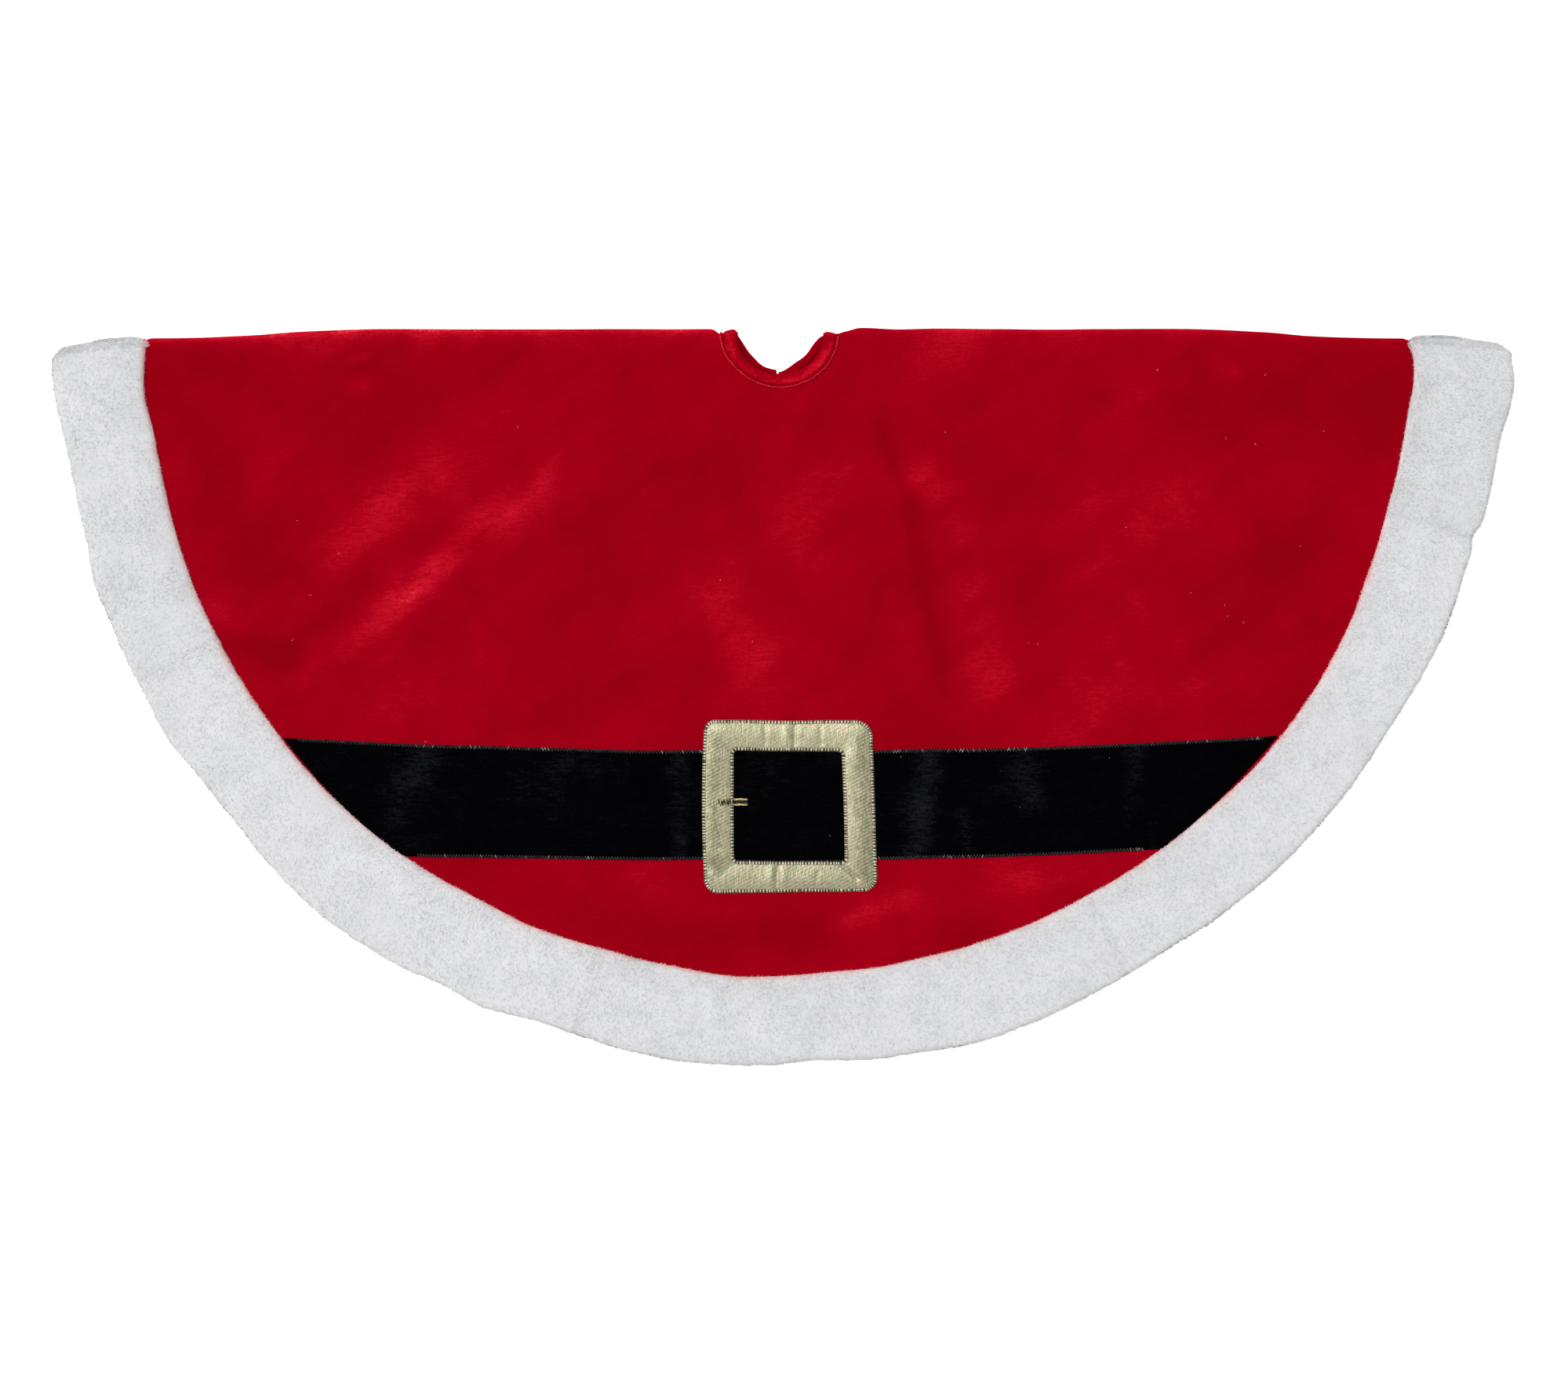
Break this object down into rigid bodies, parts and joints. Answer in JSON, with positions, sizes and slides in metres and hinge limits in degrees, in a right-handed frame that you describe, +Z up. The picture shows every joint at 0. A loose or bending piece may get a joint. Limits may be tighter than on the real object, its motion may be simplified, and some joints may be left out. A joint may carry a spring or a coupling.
{
  "type": "tree skirt",
  "caption": "Round velvet tree skirt with a plush border, a black belt and a padded gold buckle, folded in half; two back wings swing open around the fold.",
  "frame": {"origin": "centre of the trunk opening, on the fold line, at the middle of the folded pile's thickness", "axes": "+X along the fold towards the right end seen from above, -Y from the fold towards the belt and buckle, +Z up, out of the front half's velvet face"},
  "size_m": [1.219, 0.615, 0.0209],
  "materials": {
    "velvet_red": "short-pile velvet with brushed nap patches",
    "interlining_white": "matte non-woven felt",
    "lining_red": "plain-woven satin lining",
    "plush_white": "matte short-pile faux fur",
    "belt_velvet_black": "black velvet",
    "silver_thread": "metallic zigzag thread",
    "lame_gold": "pale gold twill lame",
    "wadding_white": "polyester wadding",
    "gold_thread": "metallic satin stitching",
    "hook_loop_tape": "hook-and-loop tape"
  },
  "bodies": {
    "front_half": {"front_velvet": "velvet_red", "front_interlining": "interlining_white", "front_lining": "lining_red", "front_trim_left_end": "plush_white", "front_trim_left": "plush_white", "front_trim_centre": "plush_white", "front_trim_right": "plush_white", "front_trim_right_end": "plush_white", "front_collar_binding": "velvet_red", "front_collar_topstitch": "velvet_red", "belt_band": "belt_velvet_black", "belt_top_stitching": "silver_thread", "belt_bottom_stitching": "silver_thread", "buckle_cloth": "lame_gold", "buckle_wadding": "wadding_white", "buckle_outer_edging": "gold_thread", "buckle_inner_edging": "gold_thread", "buckle_tongue": "gold_thread"},
    "back_left_wing": {"left_wing_velvet": "velvet_red", "left_wing_interlining": "interlining_white", "left_wing_lining": "lining_red", "left_wing_velvet_fold": "velvet_red", "left_wing_trim_fold_end": "plush_white", "left_wing_trim": "plush_white", "left_wing_trim_slit_end": "plush_white", "left_wing_collar_binding": "velvet_red", "left_wing_collar_topstitch": "velvet_red", "left_wing_slit_facing": "lining_red", "left_wing_hook_patches": "hook_loop_tape"},
    "back_right_wing": {"right_wing_velvet": "velvet_red", "right_wing_interlining": "interlining_white", "right_wing_lining": "lining_red", "right_wing_velvet_fold": "velvet_red", "right_wing_trim_fold_end": "plush_white", "right_wing_trim": "plush_white", "right_wing_trim_slit_end": "plush_white", "right_wing_collar_binding": "velvet_red", "right_wing_collar_topstitch": "velvet_red", "right_wing_slit_facing": "lining_red", "right_wing_loop_patches": "hook_loop_tape"}
  },
  "joints": [
    {"name": "left_wing_fold", "type": "hinge", "parent": "front_half", "child": "back_left_wing", "pos_m": [0, 0, 0], "axis": [1, 0, 0], "range_deg": [0, 180], "deforming": ["left_wing_velvet_fold"]},
    {"name": "right_wing_fold", "type": "hinge", "parent": "front_half", "child": "back_right_wing", "pos_m": [0, 0, 0], "axis": [1, 0, 0], "range_deg": [0, 180], "deforming": ["right_wing_velvet_fold"]}
  ]
}
